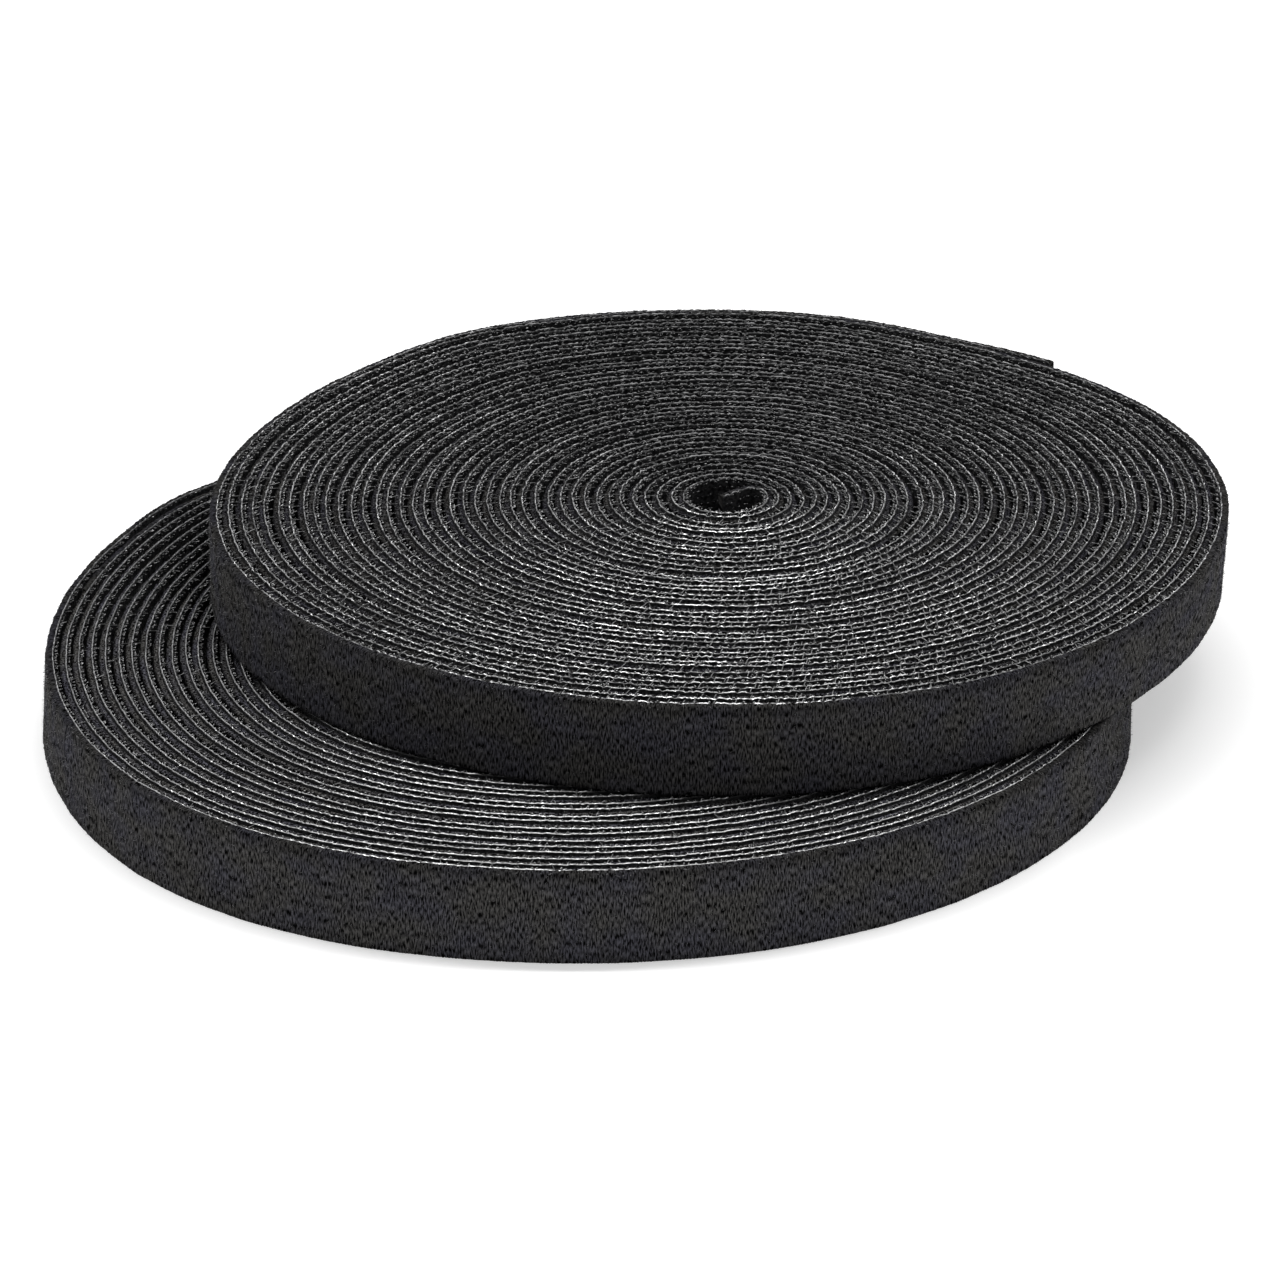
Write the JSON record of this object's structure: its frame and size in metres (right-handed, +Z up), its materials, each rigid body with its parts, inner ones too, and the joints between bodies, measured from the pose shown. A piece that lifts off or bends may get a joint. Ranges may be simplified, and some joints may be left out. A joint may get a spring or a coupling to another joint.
{
  "type": "hook and loop tape roll",
  "caption": "Stacked coreless rolls of double-sided hook and loop strap, wound flat on edge; the outer ends peel open, the inner ends flex in the bore and the top roll lifts off.",
  "frame": {"origin": "middle of the stack's bounding box, on the surface that the lower roll lies on", "axes": "+Z up along the rolls' axes, +X to the right and +Y to the back as the picture sees the stack"},
  "size_m": [0.2328, 0.235, 0.0384],
  "materials": {
    "wound_strap": "black woven strap seen on its edges, with pale glints on the base webs and the hooks",
    "loop_pile": "black brushed loop pile, matt and slightly fuzzy",
    "hook_face": "black nylon hook tape, matt web with small shiny hooks"
  },
  "bodies": {
    "lower_roll": {"lower_winding": "wound_strap"},
    "lower_tail": {"lower_tail_loop_ply": "loop_pile", "lower_tail_hook_ply": "hook_face"},
    "lower_inner_end": {"lower_inner_loop_ply": "loop_pile", "lower_inner_hook_ply": "hook_face"},
    "upper_roll": {"upper_winding": "wound_strap"},
    "upper_tail": {"upper_tail_loop_ply": "loop_pile", "upper_tail_hook_ply": "hook_face"},
    "upper_inner_end": {"upper_inner_loop_ply": "loop_pile", "upper_inner_hook_ply": "hook_face"}
  },
  "joints": [
    {"name": "upper_roll_lift", "type": "slide", "parent": "lower_roll", "child": "upper_roll", "axis": [0, 0, 1], "range_m": [0, 0.06]},
    {"name": "upper_tail_peel", "type": "hinge", "parent": "upper_roll", "child": "upper_tail", "pos_m": [0.0259, 0.11729, 0.02888], "axis": [0, 0, 1], "range_deg": [0, 75]},
    {"name": "lower_tail_peel", "type": "hinge", "parent": "lower_roll", "child": "lower_tail", "pos_m": [-0.08792, 0.0643, 0.00953], "axis": [0, 0, 1], "range_deg": [0, 75]},
    {"name": "upper_inner_flex", "type": "hinge", "parent": "upper_roll", "child": "upper_inner_end", "pos_m": [0.02742, 0.02019, 0.02888], "axis": [0, 0, 1], "range_deg": [-15, 15], "stiffness_Nm_per_rad": 0.0006},
    {"name": "lower_inner_flex", "type": "hinge", "parent": "lower_roll", "child": "lower_inner_end", "pos_m": [-0.00138, -0.00706, 0.00953], "axis": [0, 0, 1], "range_deg": [-15, 15], "stiffness_Nm_per_rad": 0.0006}
  ]
}
